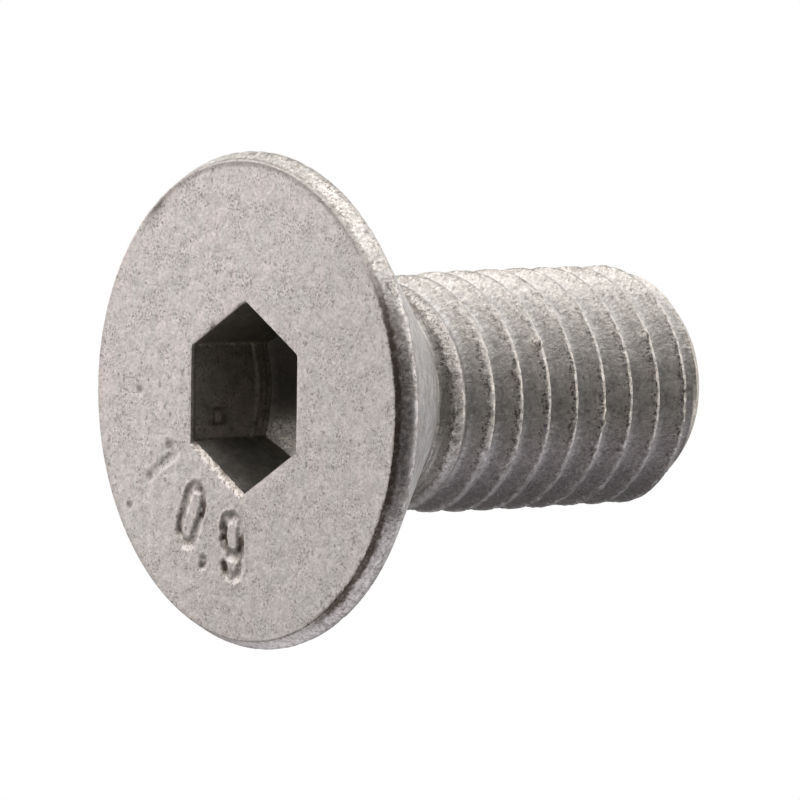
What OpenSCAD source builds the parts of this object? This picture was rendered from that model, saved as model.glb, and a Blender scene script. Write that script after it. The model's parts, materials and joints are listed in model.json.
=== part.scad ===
// Countersunk bolt with a hexagon socket: one forged piece with a rolled right-hand thread.
// It stands on its head: the head's face lies on z = 0 and the shank points up along +Z.

/* [Head] */
// Diameter of the head over its rim
head_d = 24; // [21:0.1:27]
// Height of the rim's widest circle above the face
rim_h = 0.9; // [0.6:0.01:1.3]
// How far the edge of the flat face lies inside the rim
rim_in = 0.62; // [0.5:0.01:1.5]
// Radius of the rounding at both edges of the rim's bevel
rim_r = 0.3; // [0.1:0.01:0.45]
// Included angle of the seating cone, in degrees
cone_angle = 90; // [86:1:94]

/* [Socket] */
// Width of the hexagon across its flats
socket_af = 8; // [7:0.1:9]
// Depth at which the middle of a flat meets the bottom cone
socket_depth = 4.85; // [4.4:0.05:5.4]
// Depth at which the middle of a flat meets the forging step
step_depth = 4.06; // [3.6:0.02:4.3]
// How far the lower part of each flat stands in from the upper part
step_in = 0.06; // [0.03:0.01:0.12]
// Included angle of the socket's bottom, in degrees
bottom_angle = 120; // [110:1:140]
// Width of the broken edge round the socket's mouth
mouth_break = 0.12; // [0.05:0.01:0.3]
// Distance of the socket's middle from the head's axis, along -Y
socket_off = 0.13; // [0:0.01:0.25]

/* [Thread] */
// Diameter over the crests, just under the nominal 12
thread_d = 11.9; // [11.6:0.01:12]
// Distance from crest to crest along the axis
pitch = 1.75; // [1.5:0.01:2]
// Depth of the full thread, from crest to root
thread_depth = 1.02; // [0.85:0.01:1.1]
// Width of the flat on a full crest
crest_w = 0.22; // [0.18:0.01:0.3]
// Angle between the two flanks of a groove, in degrees
flank_angle = 60; // [55:1:60]
// Height of the first crest on the +X side above the end of the cone
first_crest = 1.97; // [1.6:0.01:2.4]
// Length over which the grooves grow from shallow to full depth
runout_len = 4.3; // [2.5:0.1:6]
// Depth of the shallowest groove, next to the cone
runout_depth = 0.45; // [0.3:0.01:0.6]

/* [Tip] */
// Length of the whole bolt, head included
length = 25; // [22:0.5:40]
// Diameter of the flat end
tip_d = 9.5; // [8.5:0.1:10.5]
// Angle of the chamfer from the axis, in degrees
tip_angle = 45; // [35:1:55]

/* [Hidden] */
$fn = 96;

coat_grey = [0.66, 0.66, 0.64];

head_r = head_d / 2;
crest_r = thread_d / 2;
tip_r = tip_d / 2;

// The rim is a bevel between two equal roundings, one at the face and one at the cone
face_round = [head_r - rim_in, rim_r];
cone_round = [head_r - rim_r, rim_h];
bevel_run = cone_round - face_round;
bevel_normal = [bevel_run[1], -bevel_run[0]] / norm(bevel_run);

// The cone is tangent to the second rounding and rises by cone_slope for each unit of radius lost
cone_half = cone_angle / 2;
cone_slope = 1 / tan(cone_half);
rim_turn = 90 - cone_half;
cone_start = cone_round + rim_r * [cos(rim_turn), sin(rim_turn)];
function cone_z(r) = cone_start[1] + (cone_start[0] - r) * cone_slope;

// Thread section: crests and grooves repeat each pitch along a right-hand helix
steps_per_turn = 40;
flank_tan = tan(flank_angle / 2);
root_half = (pitch - crest_w) / 2 - thread_depth * flank_tan;
root_sag = 0.06;
neck_z = cone_z(crest_r);
overlap = 0.9;
rod_z = neck_z - overlap;
core_r = crest_r - overlap;
rod_turns = ceil((length - rod_z) / pitch) + 2;
rod_steps = rod_turns * steps_per_turn;
crest_below = ceil((first_crest + overlap) / pitch) + 1;
helix_z = neck_z + first_crest - crest_below * pitch;
section_points = 5;

function clamp01(x) = min(1, max(0, x));

// Depth of the groove whose middle lies at height z
function groove_depth(z) =
    runout_depth + (thread_depth - runout_depth) * clamp01((z - neck_z - overlap) / runout_len);

// Half the width of that groove, measured at the crests
function groove_half(z) = root_half + groove_depth(z) * flank_tan;

function step_angle(s) = 360 * s / steps_per_turn;
function crest_z(s) = helix_z + pitch * s / steps_per_turn;
function on_rod(s, r, z) = [r * cos(step_angle(s)), r * sin(step_angle(s)), z];

// Lower edge of the crest at step s
function crest_foot(s) =
    let (groove = crest_z(s) - pitch / 2)
    on_rod(s, crest_r, groove + groove_half(groove));

// One pitch of the section at step s: crest, near flank, root, start of the far flank
function section(s) =
    let (groove = crest_z(s) + pitch / 2, root_r = crest_r - groove_depth(groove))
    [
        crest_foot(s),
        on_rod(s, crest_r, groove - groove_half(groove)),
        on_rod(s, root_r, groove - root_half),
        on_rod(s, root_r - root_sag, groove),
        on_rod(s, root_r, groove + root_half)
    ];

// Point j of step s; the fifth point on is the first point one turn further up
function at(s, j) =
    j == section_points ? at(s + steps_per_turn, 0)
    : s < rod_steps ? s * section_points + j
    : rod_steps * section_points + s - rod_steps;

// Closed helical rod with whole crests and grooves, longer than the shank at both ends
module thread_rod() {
    last = rod_steps - 1;
    foot = rod_steps * section_points + steps_per_turn;
    sides = [0:section_points - 1];
    points = concat(
        [for (s = [0:last]) each section(s)],
        [for (s = [rod_steps:rod_steps + steps_per_turn - 1]) crest_foot(s)],
        [[0, 0, helix_z], [0, 0, crest_z(last) + pitch]]
    );
    skin = [
        for (s = [0:last - 1], j = sides)
            each [
                [at(s, j), at(s + 1, j + 1), at(s + 1, j)],
                [at(s, j), at(s, j + 1), at(s + 1, j + 1)]
            ]
    ];
    low_end = concat(
        [for (s = [0:steps_per_turn - 1]) [foot, at(s, 0), at(s + 1, 0)]],
        [for (j = sides) [foot, at(0, j + 1), at(0, j)]]
    );
    high_end = concat(
        [for (s = [last:last + steps_per_turn - 1]) [foot + 1, at(s + 1, 0), at(s, 0)]],
        [for (j = sides) [foot + 1, at(last, j), at(last, j + 1)]]
    );
    polyhedron(points = points, faces = concat(skin, low_end, high_end));
}

// Outline that the shank is cut to: flat end, chamfer and open sides
module shank_limit() {
    side_r = crest_r + overlap;
    chamfer_len = (side_r - tip_r) / tan(tip_angle);
    rotate_extrude()
        polygon([
            [0, rod_z],
            [side_r, rod_z],
            [side_r, length - chamfer_len],
            [tip_r, length],
            [0, length]
        ]);
}

// Flat face, bevelled rim and seating cone, with a core that reaches into the shank
module head() {
    rotate_extrude() {
        polygon([
            [0, 0],
            [face_round[0], 0],
            face_round + rim_r * bevel_normal,
            cone_round + rim_r * bevel_normal,
            cone_start,
            [core_r, cone_z(core_r)],
            [0, cone_z(core_r)]
        ]);
        for (middle = [face_round, cone_round])
            translate(middle)
                circle(rim_r);
    }
}

// Hexagon with its flats across X, from above the face down to a cone that flat_depth places
module hex_punch(af, flat_depth) {
    reach = af;
    slope = 1 / tan(bottom_angle / 2);
    intersection() {
        translate([0, 0, -reach])
            rotate(30)
            cylinder(h = 3 * reach, d = af / cos(30), $fn = 6);
        rotate_extrude()
            polygon([
                [0, -reach],
                [reach, -reach],
                [reach, flat_depth - (reach - af / 2) * slope],
                [0, flat_depth + af / 2 * slope]
            ]);
    }
}

// Everything that the punch takes out of the head
module socket() {
    mouth_r = socket_af / 2 / cos(30);
    break_r = mouth_break / cos(30);
    translate([0, -socket_off, 0]) {
        hex_punch(socket_af, step_depth);
        hex_punch(socket_af - 2 * step_in, socket_depth);
        translate([0, 0, -mouth_break])
            rotate(30)
            cylinder(h = 2 * mouth_break, r1 = mouth_r + 2 * break_r, r2 = mouth_r, $fn = 6);
    }
}

module bolt() {
    color(coat_grey)
        difference() {
            union() {
                head();
                intersection() {
                    thread_rod();
                    shank_limit();
                }
            }
            socket();
        }
}

bolt();
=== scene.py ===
"""Looks of a countersunk bolt: forged head, rolled thread and a worn, speckled zinc coat.

Lengths are in millimetres until the mesh is made. The bolt stands on its head: the face lies on
z = 0 and the shank points up along +Z.
"""

import itertools
import json
import math

import bpy
import numpy as np
from mathutils import Matrix, Vector


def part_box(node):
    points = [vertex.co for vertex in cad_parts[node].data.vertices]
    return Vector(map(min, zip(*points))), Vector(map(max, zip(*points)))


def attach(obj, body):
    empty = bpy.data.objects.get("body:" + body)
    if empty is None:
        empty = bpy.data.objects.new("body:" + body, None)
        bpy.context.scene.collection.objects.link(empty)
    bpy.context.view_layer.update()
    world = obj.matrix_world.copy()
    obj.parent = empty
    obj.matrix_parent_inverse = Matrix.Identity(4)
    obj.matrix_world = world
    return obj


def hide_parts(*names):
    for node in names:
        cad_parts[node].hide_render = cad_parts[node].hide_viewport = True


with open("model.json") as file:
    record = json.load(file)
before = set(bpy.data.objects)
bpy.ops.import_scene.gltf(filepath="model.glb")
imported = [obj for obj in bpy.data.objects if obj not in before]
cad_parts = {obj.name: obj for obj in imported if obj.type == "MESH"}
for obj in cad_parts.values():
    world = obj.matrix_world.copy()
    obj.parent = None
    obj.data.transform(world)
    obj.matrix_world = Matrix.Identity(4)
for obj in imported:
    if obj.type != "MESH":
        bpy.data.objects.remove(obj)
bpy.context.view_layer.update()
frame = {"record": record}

# Sizes that the frame gives
MM = 0.001
_, bolt_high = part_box("bolt")
mounts = {mount["name"]: mount for mount in frame["record"]["mounts"]}
HEAD_R = bolt_high.x / MM
LENGTH = bolt_high.z / MM
CREST_R = mounts["thread"]["dims"]["r_mm"]
CONE_R = mounts["cone_seat"]["dims"]["r_mm"]
CONE_Z = mounts["cone_seat"]["pos_m"][2] / MM
SOCKET_HALF = mounts["hexagon_socket"]["dims"]["r_mm"]
SOCKET_DEPTH = mounts["hexagon_socket"]["dims"]["length_mm"]
SOCKET_Y = mounts["hexagon_socket"]["pos_m"][1] / MM

# Rim: a bevel with a tight edge at the face, a crease past it dark with dirt and painted shade, and a
# wider round at the cone
BEVEL_TILT = math.radians(30)
EDGE_ROUND = 0.14
RIM_ROUND = 0.45
ROUND_R = HEAD_R - RIM_ROUND
ROUND_Z = CONE_R + CONE_Z - ROUND_R - RIM_ROUND * math.sqrt(2)
BEVEL_R = ROUND_R + RIM_ROUND * math.cos(BEVEL_TILT)
BEVEL_Z = ROUND_Z - RIM_ROUND * math.sin(BEVEL_TILT)
CORNER_R = BEVEL_R - BEVEL_Z * math.tan(BEVEL_TILT)
FACE_R = CORNER_R - EDGE_ROUND * math.tan(math.pi / 4 - BEVEL_TILT / 2)
CREASE_AT = 0.03
CREASE_WIDTH = 0.07
CREASE_DEPTH = 0.05
CREASE_WANDER = 0.08
EDGE_RUN = EDGE_ROUND * (math.pi / 2 - BEVEL_TILT) + CREASE_AT
HIDDEN_RUN = 0.14

# Socket
STEP_DEPTH = 4.06
STEP_IN = 0.06
BOTTOM_RISE = math.tan(math.radians(30))
SOCKET_ROUND = 0.15
MOUTH_BREAK = 0.12
WORN_BREAK = 0.16
WORN_FLAT = 120
PALE_FLAT = 180
DARK_FLAT = 240
LOWER_HALF = SOCKET_HALF - STEP_IN
APEX_Z = SOCKET_DEPTH + LOWER_HALF * BOTTOM_RISE
SOCKET_ROUGH = 0.012
RIB_HEIGHT = 0.03
MARK_DEPTH = 0.03
# Shares at which the socket's rows lie: along the bottom, to the step, to the mouth and over its edge
BOTTOM_SHARES = np.linspace(0.14, 1, 10)
FOOT_SHARES = (0.06, 0.2, 0.32, 0.42, 0.54, 0.68, 0.8, 0.9, 0.97)
WALL_SHARES = (0.01, 0.025, 0.04, 0.06, 0.2, 0.31, 0.34, 0.37, *np.linspace(0.53, 0.70, 9), 0.85, 0.97)
MOUTH_SHARES = (0.0, 0.5, 1.0)
STEP_SHARES = (-0.01, 0.05)
# Dark rings on the foot of the pale flat: share of the way up, half the width; then their dirt
FOOT_RINGS = ((0.42, 0.1), (0.93, 0.08))
RING_DIRT = 0.75
# Where a pool of light is painted on the bottom, from none to full along X and Y
LIT_X = (0.5, -1.5)
LIT_Y = (0.5, 2.1)
# Painted shade and grime in the socket, lighter on the pale flat, at its foot, high on the worn flat
# and in the painted pool of light
PALE_LIGHTER, FOOT_LIGHTER, WORN_LIGHTER, LIT_LIGHTER = 0.7, 0.15, 0.4, 0.55
WORN_LIGHTER_Z = (2.6, 0.2)
# Dirt on the mouth's edge over the pale, dark and worn flats, and more inside the worn one
PALE_SOIL, DARK_SOIL, WORN_SOIL, INNER_SOIL = 0.6, 0.9, 0.6, 0.5
MOUTH_ROUGH, WORN_ROUGH = 0.02, 0.03
# Small mark that the punch left on the pale flat: place along the flat, depth and half its sizes
MARK_Y, MARK_Z = 1.18, 1.63
MARK_HALF_Y, MARK_HALF_Z = 0.36, 0.26
DOT_Y, DOT_Z = -0.4, 2.75

# Thread
PITCH = 1.75
THREAD_DEPTH = 1.02
CREST_W = 0.22
FLANK_TAN = math.tan(math.radians(30))
ROOT_HALF = (PITCH - CREST_W) / 2 - THREAD_DEPTH * FLANK_TAN
ROOT_R = CREST_R - THREAD_DEPTH
NECK_Z = CONE_Z + CONE_R - CREST_R
FIRST_CREST = NECK_Z + 1.97
TIP_R = 4.75
TIP_TAN = math.tan(math.radians(40))
END_SINK, END_ROUGH, END_MIDDLE = 0.02, 0.015, 0.03
# Rounding in the roots, and where the thread meets the cone and the chamfer
ROOT_BLEND = 0.22
JOIN_BLEND = 0.08

# Runout: the first crests are lower and rounder than the rest, and the first grooves shallower
RUNOUT_LEN = 1.65
LOW_CREST = 0.29
SHALLOW_ROOT = 0.10
CREST_BLEND = 0.06
ROUND_BLEND = 0.5
# Bright line on each crest, worn metal and painted highlight: its usual width, more of it on the first
# crest and on the lower side
CREST_LINE = 0.05
FIRST_RIDGE = 0.36
FIRST_FADE = 1.8
LOWER_RIDGE = 0.06
# Reach of the value that tells the cone from the thread, and the angle of a chip where they meet
JOIN_REACH = 0.5
CHIP_AT = 14.0
CHIP_HALF, CHIP_REACH, CHIP_HEIGHT = 1.6, 0.14, 0.07
# Wear of the crests: depth of the fine wear, the nicks and the broad wear, and height of the burrs
FINE_WEAR, NICK_WEAR, BROAD_WEAR, BURR_HEIGHT = 0.03, 0.035, 0.01, 0.05
THREAD_ROUGH = 0.008
# How far nodules stand out and how far their middles lie below the crest; then angle, height and size
NODULE_HEIGHT = 0.16
NODULE_SINK = 0.1
NODULES = ((-27.4, 14.05, 0.27), (-28.6, 21.05, 0.22), (6.6, 17.7, 0.25), (13.0, 17.95, 0.18))

# Stamped numbers
STAMP_DEPTH = 0.115
STAMP_STROKE = 0.27
STAMP_SECTOR = (66.0, 176.0)
SECTOR_FADE = 8
# Distances from a stroke's middle between which the groove, and the dirt in it, fade; place of the lip
CUT_FADE = (STAMP_STROKE * 0.2, STAMP_STROKE * 1.4)
CORE_FADE = (STAMP_STROKE * 0.5, STAMP_STROKE * 1.25)
LIP_AT, LIP_HALF, LIP_HEIGHT = STAMP_STROKE * 1.3, 0.1, 0.02
TORN_REACH, TORN_ROUGH, TORN_DIRT = 0.45, 0.016, 0.16
# Heights in a sign between which its worn foot begins
FOOT_FADE = (-0.85, -1.35)
LEAST_SOIL = 0.2
PIT_DEPTH, PIT_DIRT = 0.05, 0.45
FACE_WAVE, FACE_ROUGH = 0.005, 0.006

# Mesh density
COLUMNS = 320
FACE_COLUMNS = 320
SECTOR_DENSITY = 2.4
THREAD_START = NECK_Z - 0.9
ROWS_PER_PITCH = 14
ROW_GAP = 0.04
LEAST_DEPTH = 0.35
LAST_LABEL = 10 ** 6

# Values painted on the mesh. Most run from 0 to 1, join to 2; edge, past and ridge are in millimetres
MASKS = (
    "rim", "cone", "thread", "root", "socket", "dirt", "worn", "tip", "film",
    "edge", "crease", "stain", "past", "ridge", "join",
)


# Helpers for shapes

def clamp01(value):
    return np.clip(value, 0.0, 1.0)


def smooth(low, high, value):
    """Smooth step from 0 at low to 1 at high."""
    t = clamp01((value - low) / (high - low))
    return t * t * (3 - 2 * t)


def smooth_min(a, b, blend):
    """The lower of two values, rounded where they cross."""
    near = np.maximum(blend - np.abs(a - b), 0.0) / blend
    return np.minimum(a, b) - near * near * blend / 4


def smooth_max(a, b, blend):
    return -smooth_min(-a, -b, blend)


def lattice_noise(points, cell, seed):
    """Smooth noise between -1 and 1 on a lattice of the given cell size."""
    size = 32
    table = np.random.RandomState(seed).uniform(-1, 1, (size, size, size))
    place = np.asarray(points) / cell
    base = np.floor(place).astype(int)
    part = place - base
    part = part * part * (3 - 2 * part)
    total = np.zeros(place.shape[:-1])
    for corner in itertools.product((0, 1), repeat=3):
        weight = np.prod(np.where(corner, part, 1 - part), axis=-1)
        x, y, z = np.moveaxis((base + corner) % size, -1, 0)
        total += weight * table[x, y, z]
    return total


def polar(radius, angle, z):
    """Points at a radius, an angle in radians and a height."""
    radius, angle, z = np.broadcast_arrays(radius, angle, z)
    return np.stack((radius * np.cos(angle), radius * np.sin(angle), z), axis=-1)


def arc(centre, radius, start, end, count):
    """Points along an arc, from one angle in degrees to another; the radius may be a pair."""
    angles = np.radians(np.linspace(start, end, count))
    return np.asarray(centre) + radius * np.stack((np.cos(angles), np.sin(angles)), axis=1)


def push_out(points, distance):
    """Moves points away from the axis by the given distances."""
    radius = np.hypot(points[:, 0], points[:, 1])
    points[:, :2] *= (1 + distance / radius)[:, None]


class Skin:
    """A closed mesh made of rows of points, with the value of each mask at every point."""

    def __init__(self):
        self.points = []
        self.masks = {name: [] for name in MASKS}
        self.faces = []
        self.count = 0

    def add(self, points, **masks):
        """Adds a row of points and returns their numbers."""
        points = np.atleast_2d(points)
        numbers = np.arange(self.count, self.count + len(points))
        self.points.append(points)
        for name in MASKS:
            self.masks[name].append(np.broadcast_to(masks.get(name, 0.0), len(points)))
        self.count += len(points)
        return numbers

    def bridge(self, first, second):
        """Quads between two rings with as many points each; returns the second ring."""
        self.faces.extend(zip(first, np.roll(first, -1), np.roll(second, -1), second))
        return second

    def zip_rows(self, first, first_keys, second, second_keys):
        """Faces between two rows of points: a quad where the next keys are equal, else a triangle."""
        i = j = 0
        while i + 1 < len(first) or j + 1 < len(second):
            key_a = first_keys[i + 1] if i + 1 < len(first) else math.inf
            key_b = second_keys[j + 1] if j + 1 < len(second) else math.inf
            if key_a == key_b:
                self.faces.append((first[i], first[i + 1], second[j + 1], second[j]))
            elif key_a < key_b:
                self.faces.append((first[i], first[i + 1], second[j]))
            else:
                self.faces.append((first[i], second[j + 1], second[j]))
            i += key_a <= key_b
            j += key_b <= key_a

    def zip_rings(self, first, first_angles, second, second_angles):
        """Faces between two rings that start at the same angle and differ in their columns."""
        turn = 2 * math.pi
        self.zip_rows(
            np.append(first, first[0]), np.append(first_angles, turn),
            np.append(second, second[0]), np.append(second_angles, turn),
        )

    def to_object(self, name):
        mesh = bpy.data.meshes.new(name)
        points = np.concatenate(self.points) * MM
        faces = [[int(number) for number in face] for face in self.faces]
        mesh.from_pydata(points.tolist(), [], faces)
        for mask in MASKS:
            attribute = mesh.attributes.new(mask, "FLOAT", "POINT")
            attribute.data.foreach_set("value", np.concatenate(self.masks[mask]).astype(np.float32))
        mesh.shade_smooth()
        mesh.set_sharp_from_angle(angle=math.radians(42))
        piece = bpy.data.objects.new(name, mesh)
        bpy.context.scene.collection.objects.link(piece)
        return piece


# Stamped numbers of the strength class

def stadium(half_width, top, foot):
    """Closed line with straight sides and round ends."""
    upper = arc((0, top - half_width), half_width, 0, 180, 9)
    lower = arc((0, foot + half_width), half_width, 180, 360, 9)
    return np.concatenate((upper, lower, upper[:1]))


SIGNS = {
    "1": [np.array([(-0.65, 0.72), (0.0, 1.4), (0.0, -1.4)])],
    "0": [stadium(0.64, 1.45, -1.4)],
    ".": [np.array([(0.0, -0.12), (0.0, 0.12)])],
    "9": [
        stadium(0.66, 1.4, -0.5),
        np.concatenate(([(0.66, 0.3)], arc((0, -0.82), 0.66, 0, -160, 9))),
    ],
}
# Where dirt has stayed in each sign: place to the right and up, and reach
SOILED = {
    "1": ((0.0, -1.3, 0.22), (-0.6, 0.75, 0.25)),
    "0": ((-0.64, -0.85, 0.45), (0.62, 0.75, 0.5)),
    ".": ((0.0, 0.0, 0.3),),
    "9": ((-0.66, 0.45, 0.6), (0.66, 0.2, 0.5), (-0.6, -1.0, 0.4)),
}
# Sign, radius of its middle, angle on the face, lean to the right and depth
STAMPS = (
    ("1", 7.07, 150.7, -0.05, 0.3),
    ("0", 7.08, 124.0, -0.17, 0.9),
    (".", 8.60, 110.3, 0.0, 0.8),
    ("9", 7.10, 95.9, -0.10, 1.0),
)


def line_distance(points, line):
    """Distance of each point from a line of straight stretches."""
    best = np.full(len(points), np.inf)
    for start, end in zip(line[:-1], line[1:]):
        run = end - start
        along = clamp01(((points - start) @ run) / max(run @ run, 1e-9))
        best = np.minimum(best, np.linalg.norm(points - start - along[:, None] * run, axis=1))
    return best


def stamp_relief(points):
    """Groove, lip, dirt, bare metal and torn ground of the stamped signs at each face point.

    The signs' tops face the socket, and their feet are the worn ends.
    """
    groove, lip, soil, bare, torn = np.zeros((5, len(points)))
    uneven = 0.85 + 0.45 * lattice_noise(points, 0.45, 61)
    caked = 0.7 + 0.8 * lattice_noise(points, 0.25, 66) + 0.5 * lattice_noise(points, 0.13, 67)
    patchy = 0.6 + 0.9 * lattice_noise(points, 0.4, 63) + 0.4 * lattice_noise(points, 0.15, 64)
    caked, patchy = clamp01(caked), clamp01(patchy)
    for sign, radius, angle, lean, depth in STAMPS:
        turn = math.radians(angle)
        outward = np.array((math.cos(turn), math.sin(turn)))
        right = np.array((outward[1], -outward[0]))
        from_middle = points[:, :2] - radius * outward
        up = -from_middle @ outward
        local = np.stack((from_middle @ right - lean * up, up), axis=1)
        gap = np.min([line_distance(local, line) for line in SIGNS[sign]], axis=0)
        gap = gap + 0.04 * lattice_noise(points, 0.3, 62) + 0.03 * lattice_noise(points, 0.14, 65)
        cut = 1 - smooth(*CUT_FADE, gap)
        edge = np.exp(-((gap - LIP_AT) / LIP_HALF) ** 2)
        core = 1 - smooth(*CORE_FADE, gap)
        foot = smooth(*FOOT_FADE, up)
        groove = np.maximum(groove, depth * uneven * cut)
        lip = np.maximum(lip, depth * uneven * edge * patchy)
        spots = np.full(len(points), LEAST_SOIL)
        for right_by, up_by, reach in SOILED[sign]:
            off = np.hypot(local[:, 0] - right_by, local[:, 1] - up_by)
            spots = np.maximum(spots, np.exp(-(off / reach) ** 2))
        soil = np.maximum(soil, (0.4 + 0.6 * depth) * core * clamp01(1.5 * spots * caked))
        torn = np.maximum(torn, depth * np.exp(-(gap / TORN_REACH) ** 2))
        bare = np.maximum(bare, depth * np.maximum(cut * foot, 0.6 * edge * (0.25 + 0.75 * foot)))
    return groove, lip, soil, 0.75 * bare * patchy, torn


# Socket and face

def face_angles():
    """Angles of the columns on the face and in the socket.

    They lie closer in the stamped sector, and one lies on each corner of the hexagon.
    """
    degrees = np.linspace(0, 360, 7201)
    low, high = STAMP_SECTOR
    stamped = smooth(low - SECTOR_FADE, low, degrees)
    stamped = stamped * (1 - smooth(high, high + SECTOR_FADE, degrees))
    share = np.cumsum(1 + SECTOR_DENSITY * stamped)
    share -= share[0]
    columns = np.interp(np.arange(FACE_COLUMNS) / FACE_COLUMNS * share[-1], share, degrees)
    for corner in range(30, 360, 60):
        columns[np.argmin(np.abs(columns - corner))] = corner
    return np.radians(columns)


def hexagon_radius(angles, half):
    """Radius of a hexagon with rounded corners and flats square to X, half as wide as given."""
    sixth = math.pi / 6
    off_flat = np.abs((angles + sixth) % (2 * sixth) - sixth)
    off_corner = sixth - off_flat
    corner_mid = (half - SOCKET_ROUND) / math.cos(sixth)
    inside = np.maximum(SOCKET_ROUND ** 2 - (corner_mid * np.sin(off_corner)) ** 2, 0)
    corner_radius = corner_mid * np.cos(off_corner) + np.sqrt(inside)
    straight = half * np.tan(off_flat) <= (half - SOCKET_ROUND) * math.tan(sixth)
    return np.where(straight, half / np.cos(off_flat), corner_radius)


def socket_points(radius, angles, z):
    return polar(radius, angles, z) + np.array((0, SOCKET_Y, 0))


def on_flat(angles, middle):
    """1 on the socket's flat whose middle lies at the given angle in degrees, else 0."""
    return 1 - smooth(28.5, 30.5, np.abs(np.degrees(angles) - middle))


def punch_mark(points):
    """Outline of the small mark on the pale flat."""
    box = np.maximum(
        np.abs(points[:, 1] - SOCKET_Y - MARK_Y) / MARK_HALF_Y,
        np.abs(points[:, 2] - MARK_Z) / MARK_HALF_Z,
    )
    dot = np.hypot(points[:, 1] - SOCKET_Y - DOT_Y, points[:, 2] - DOT_Z)
    return np.maximum(np.exp(-((box - 1) / 0.28) ** 2), np.exp(-(dot / 0.1) ** 2))


def step_height(radius):
    """Height of the forging step's slope at a radius."""
    return STEP_DEPTH + (SOCKET_HALF - radius) * BOTTOM_RISE


def socket_rows(lower, upper, bottom_z, drop, pale):
    """Rows of the bottom, the foot of the walls and the walls: radius, height and dark rings."""
    ledge_in = step_height(lower)
    ledge_out = step_height(upper)
    rows = [(share * lower, APEX_Z + share * (bottom_z - APEX_Z), 0) for share in BOTTOM_SHARES]
    for share in FOOT_SHARES:
        rings = sum(math.exp(-((share - at) / half) ** 2) for at, half in FOOT_RINGS)
        rib = RIB_HEIGHT * pale * math.sin(share * 4 * math.pi) ** 2
        rows.append((lower - rib, bottom_z + share * (ledge_in - bottom_z), RING_DIRT * rings))
    for share in WALL_SHARES:
        radius = lower + (upper - lower) * smooth(*STEP_SHARES, share)
        rows.append((radius, ledge_out + share * (drop - ledge_out), 0))
    return rows


def make_socket(skin, angles):
    """Bottom cone, forging step, walls and broken mouth; returns the mouth's ring and radius."""
    lower = hexagon_radius(angles, LOWER_HALF)
    upper = hexagon_radius(angles, SOCKET_HALF)
    bottom_z = APEX_Z - lower * BOTTOM_RISE
    worn = on_flat(angles, WORN_FLAT)
    pale = on_flat(angles, PALE_FLAT)
    dark = on_flat(angles, DARK_FLAT)
    # Painted highlight along the corner between the pale and the dark flat
    corner = np.exp(-((np.degrees(angles) - (PALE_FLAT + DARK_FLAT) / 2) / 1.6) ** 2)
    mouth = MOUTH_BREAK * (1 - 0.6 * dark) + WORN_BREAK * worn
    drop = mouth * (1 - 0.35 * worn)

    centre = skin.add(socket_points(0.0, 0.0, APEX_Z), socket=1.0)
    ring = np.repeat(centre, len(angles))
    for radius, z, rings in socket_rows(lower, upper, bottom_z, drop, pale):
        points = socket_points(radius, angles, z)
        height = points[:, 2]
        on_bottom = smooth(-0.1, 0.1, height - bottom_z)
        on_wall = 1 - on_bottom
        # Painted pool of light on the bottom
        lit = on_bottom * smooth(*LIT_Y, points[:, 1]) * smooth(*LIT_X, points[:, 0])
        on_foot = smooth(STEP_DEPTH - 0.1, STEP_DEPTH + 0.1, height)
        # The socket's dark tone is painted shade and grime, lighter in places
        lightened = pale * (PALE_LIGHTER + FOOT_LIGHTER * on_foot) * on_wall
        grime_and_shade = 1 - lightened - WORN_LIGHTER * worn * smooth(*WORN_LIGHTER_Z, height) - LIT_LIGHTER * lit
        mark = pale * np.maximum(punch_mark(points), rings * on_wall)
        rough = SOCKET_ROUGH * lattice_noise(points, 0.7, 11)
        push_out(points, rough + MARK_DEPTH * mark * (1 - on_foot))
        # Less dirt and cream in the painted pool of light, and cream on the corner as a painted
        # highlight
        ring = skin.bridge(ring, skin.add(
            points, socket=grime_and_shade, dirt=0.7 * mark + 0.35 * on_bottom * (1 - lit),
            worn=0.8 * lit + 0.7 * corner * on_wall,
        ))
    for share in MOUTH_SHARES:
        inner = 1 - share
        points = socket_points(upper + mouth * share, angles, drop * inner)
        speck = lattice_noise(points, 0.17, 12)
        points[:, 2] += (MOUTH_ROUGH + WORN_ROUGH * worn) * speck * inner
        soiled = (PALE_SOIL * pale + DARK_SOIL * dark) * (1 - 0.5 * share)
        soiled += WORN_SOIL * worn * smooth(-0.1, 0.5, speck)
        soiled += INNER_SOIL * worn * inner * smooth(-0.5, 0.4, lattice_noise(points, 0.3, 13))
        # Painted shade that fades out over the mouth
        following = skin.add(points, socket=0.6 * inner, worn=0.4 * worn, dirt=clamp01(soiled))
        ring = skin.bridge(ring, following)
    return ring, upper + mouth


# Stain on the face's edge: its middle and half its length in degrees, its reach inwards and its dirt
EDGE_STAIN_AT, EDGE_STAIN_HALF = -127.0, 7.0
EDGE_STAIN_REACH, EDGE_STAIN_DIRT = (0.7, 0.05), 0.85
# Radius, angle and size of the larger pits in the face
PITS = ((10.54, 147.0, 0.2), (8.18, 179.7, 0.22), (6.57, 182.7, 0.13))


def pit_depth(points):
    """Share of the full depth of the nearest pit at each face point."""
    best = np.zeros(len(points))
    for radius, angle, size in PITS:
        middle = polar(radius, math.radians(angle), 0.0)
        gap = np.hypot(points[:, 0] - middle[0], points[:, 1] - middle[1])
        best = np.maximum(best, np.exp(-(gap / size) ** 4))
    return best


def edge_stain(points, angles):
    """Brown stain on the face's edge, at the upper left in the photograph."""
    inner, outer = EDGE_STAIN_REACH
    near_edge = smooth(FACE_R - inner, FACE_R - outer, np.hypot(points[:, 0], points[:, 1]))
    along = np.exp(-((signed_degrees(angles) - EDGE_STAIN_AT) / EDGE_STAIN_HALF) ** 2)
    return EDGE_STAIN_DIRT * near_edge * along * clamp01(0.8 + 0.6 * lattice_noise(points, 0.4, 72))


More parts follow.
